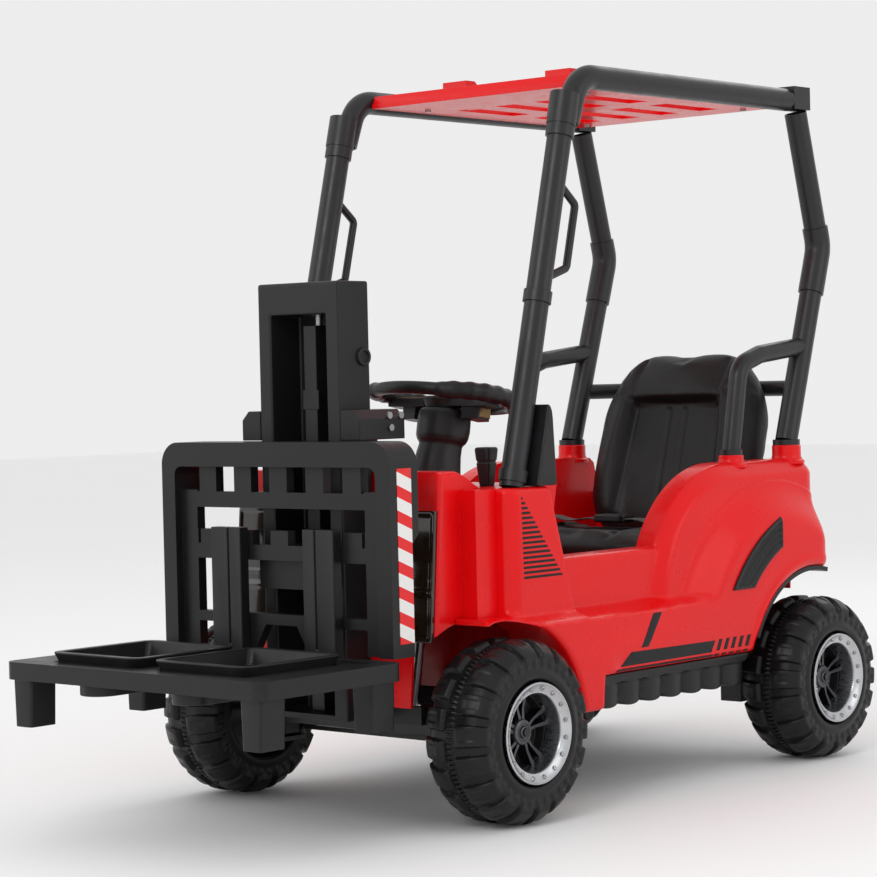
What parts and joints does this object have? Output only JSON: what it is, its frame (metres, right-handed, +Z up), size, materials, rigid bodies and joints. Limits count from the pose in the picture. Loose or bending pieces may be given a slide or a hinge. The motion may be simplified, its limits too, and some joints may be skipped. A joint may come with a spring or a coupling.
{
  "type": "ride-on toy forklift",
  "caption": "Child's ride-on forklift with a roll cage, padded seat, steered front wheels, mast, lifting forks and a pallet with two bins.",
  "frame": {"origin": "centre of the overall length and width, on the ground", "axes": "+X to the vehicle's left, -Y the way it drives, +Z up"},
  "size_m": [0.5972, 1.2522, 1.007],
  "materials": {
    "red_plastic": "gloss",
    "black_plastic": "satin",
    "cage_tube": "satin",
    "seat_leather": "satin",
    "tyre_plastic": "satin",
    "rim_silver": "silver",
    "bright_steel": "brushed",
    "smoked_lens": "gloss",
    "belt_webbing": "woven",
    "pallet_plastic": "satin",
    "grip_plastic": "satin",
    "electrics": "matt"
  },
  "bodies": {
    "truck": {"body_side_left": "red_plastic", "body_side_right": "red_plastic", "front_cowl": "red_plastic", "seat_box": "red_plastic", "rear_cover": "red_plastic", "chassis_tray": "black_plastic", "side_skirts": "black_plastic", "front_lamps": "smoked_lens", "fender_vents": "black_plastic", "front_post_left": "cage_tube", "front_post_right": "cage_tube", "roof_rails": "cage_tube", "rear_posts": "cage_tube", "guard_hoops": "cage_tube", "cage_fittings": "cage_tube", "grab_handles": "cage_tube", "guard_panels": "black_plastic", "rear_brace": "cage_tube", "roof_panel": "red_plastic", "seat_base": "seat_leather", "seat_back": "seat_leather", "lap_belt": "belt_webbing", "belt_buckle": "grip_plastic", "column_cover": "black_plastic", "front_axle_beam": "black_plastic", "pedal_stand": "black_plastic", "mast_frame": "black_plastic", "mast_bracket": "black_plastic", "mast_guide": "black_plastic", "lift_motor": "bright_steel", "rear_axle": "bright_steel", "drive_motors": "electrics", "battery": "electrics", "control_box": "electrics", "bolts": "bright_steel"},
    "steering": {"steering_wheel": "grip_plastic", "steering_shaft": "bright_steel"},
    "horn": {"horn_button": "grip_plastic"},
    "tie_rod": {"tie_rod": "bright_steel"},
    "knuckle_left": {"knuckle_left": "bright_steel"},
    "knuckle_right": {"knuckle_right": "bright_steel"},
    "wheel_front_left": {"tyre_front_left": "tyre_plastic", "rim_front_left": "rim_silver"},
    "wheel_front_right": {"tyre_front_right": "tyre_plastic", "rim_front_right": "rim_silver"},
    "wheel_rear_left": {"tyre_rear_left": "tyre_plastic", "rim_rear_left": "rim_silver"},
    "wheel_rear_right": {"tyre_rear_right": "tyre_plastic", "rim_rear_right": "rim_silver"},
    "shift_lever": {"shift_lever": "grip_plastic"},
    "lift_lever": {"lift_lever": "grip_plastic"},
    "pedal": {"foot_pedal": "black_plastic"},
    "lift_screw": {"lift_screw": "bright_steel"},
    "carriage": {"carriage_frame": "black_plastic", "fork_left": "black_plastic", "fork_right": "black_plastic"},
    "pallet": {"pallet": "pallet_plastic"},
    "bin_left": {"bin_left": "pallet_plastic"},
    "bin_right": {"bin_right": "pallet_plastic"}
  },
  "joints": [
    {"name": "steering_turn", "type": "hinge", "parent": "truck", "child": "steering", "pos_m": [0, -0.0476, 0.447], "axis": [0, 0.1822, 0.9833], "range_deg": [-28, 28]},
    {"name": "horn_push", "type": "slide", "parent": "steering", "child": "horn", "axis": [0, -0.1822, -0.9833], "range_m": [0, 0.003], "stiffness_N_per_m": 600, "springref_m": -0.001},
    {"name": "tie_rod_shift", "type": "slide", "parent": "truck", "child": "tie_rod", "axis": [1, 0, 0], "range_m": [-0.0113, 0.0113]},
    {"name": "knuckle_left_turn", "type": "hinge", "parent": "truck", "child": "knuckle_left", "pos_m": [0.172, -0.1966, 0.12], "axis": [0, 0, 1], "range_deg": [-14.1, 14.1]},
    {"name": "knuckle_right_turn", "type": "hinge", "parent": "truck", "child": "knuckle_right", "pos_m": [-0.172, -0.1966, 0.12], "axis": [0, 0, 1], "range_deg": [-14.1, 14.1]},
    {"name": "wheel_front_left_spin", "type": "hinge", "parent": "knuckle_left", "child": "wheel_front_left", "pos_m": [0.2446, -0.1966, 0.12], "axis": [1, 0, 0], "continuous": true},
    {"name": "wheel_front_right_spin", "type": "hinge", "parent": "knuckle_right", "child": "wheel_front_right", "pos_m": [-0.2446, -0.1966, 0.12], "axis": [1, 0, 0], "continuous": true},
    {"name": "wheel_rear_left_spin", "type": "hinge", "parent": "truck", "child": "wheel_rear_left", "pos_m": [0.2446, 0.5, 0.12], "axis": [1, 0, 0], "continuous": true},
    {"name": "wheel_rear_right_spin", "type": "hinge", "parent": "truck", "child": "wheel_rear_right", "pos_m": [-0.2446, 0.5, 0.12], "axis": [1, 0, 0], "continuous": true},
    {"name": "shift_lever_tilt", "type": "hinge", "parent": "truck", "child": "shift_lever", "pos_m": [0.14, -0.1046, 0.398], "axis": [1, 0, 0], "range_deg": [-10, 10]},
    {"name": "lift_lever_tilt", "type": "hinge", "parent": "truck", "child": "lift_lever", "pos_m": [-0.14, -0.1046, 0.398], "axis": [1, 0, 0], "range_deg": [-10, 10], "stiffness_Nm_per_rad": 1.5},
    {"name": "pedal_press", "type": "hinge", "parent": "truck", "child": "pedal", "pos_m": [-0.092, 0.0714, 0.176], "axis": [1, 0, 0], "range_deg": [0, 14], "stiffness_Nm_per_rad": 3, "springref_deg": -8.59},
    {"name": "carriage_lift", "type": "slide", "parent": "truck", "child": "carriage", "axis": [0, 0, 1], "range_m": [-0.138, 0.19]},
    {"name": "lift_screw_spin", "type": "hinge", "parent": "truck", "child": "lift_screw", "pos_m": [0, -0.2746, 0.4], "axis": [0, 0, 1], "continuous": true},
    {"name": "pallet_slide", "type": "slide", "parent": "carriage", "child": "pallet", "axis": [0, -1, 0], "range_m": [0, 0.26]},
    {"name": "bin_left_lift", "type": "slide", "parent": "pallet", "child": "bin_left", "axis": [0, 0, 1], "range_m": [0, 0.12]},
    {"name": "bin_right_lift", "type": "slide", "parent": "pallet", "child": "bin_right", "axis": [0, 0, 1], "range_m": [0, 0.12]}
  ],
  "couplings": [
    {"joint": "knuckle_left_turn", "follows": "steering_turn", "ratio": 0.5},
    {"joint": "knuckle_right_turn", "follows": "steering_turn", "ratio": 0.5},
    {"joint": "tie_rod_shift", "follows": "steering_turn", "m_per_rad": -0.0229},
    {"joint": "lift_screw_spin", "follows": "carriage_lift", "rad_per_m": 392.7}
  ]
}
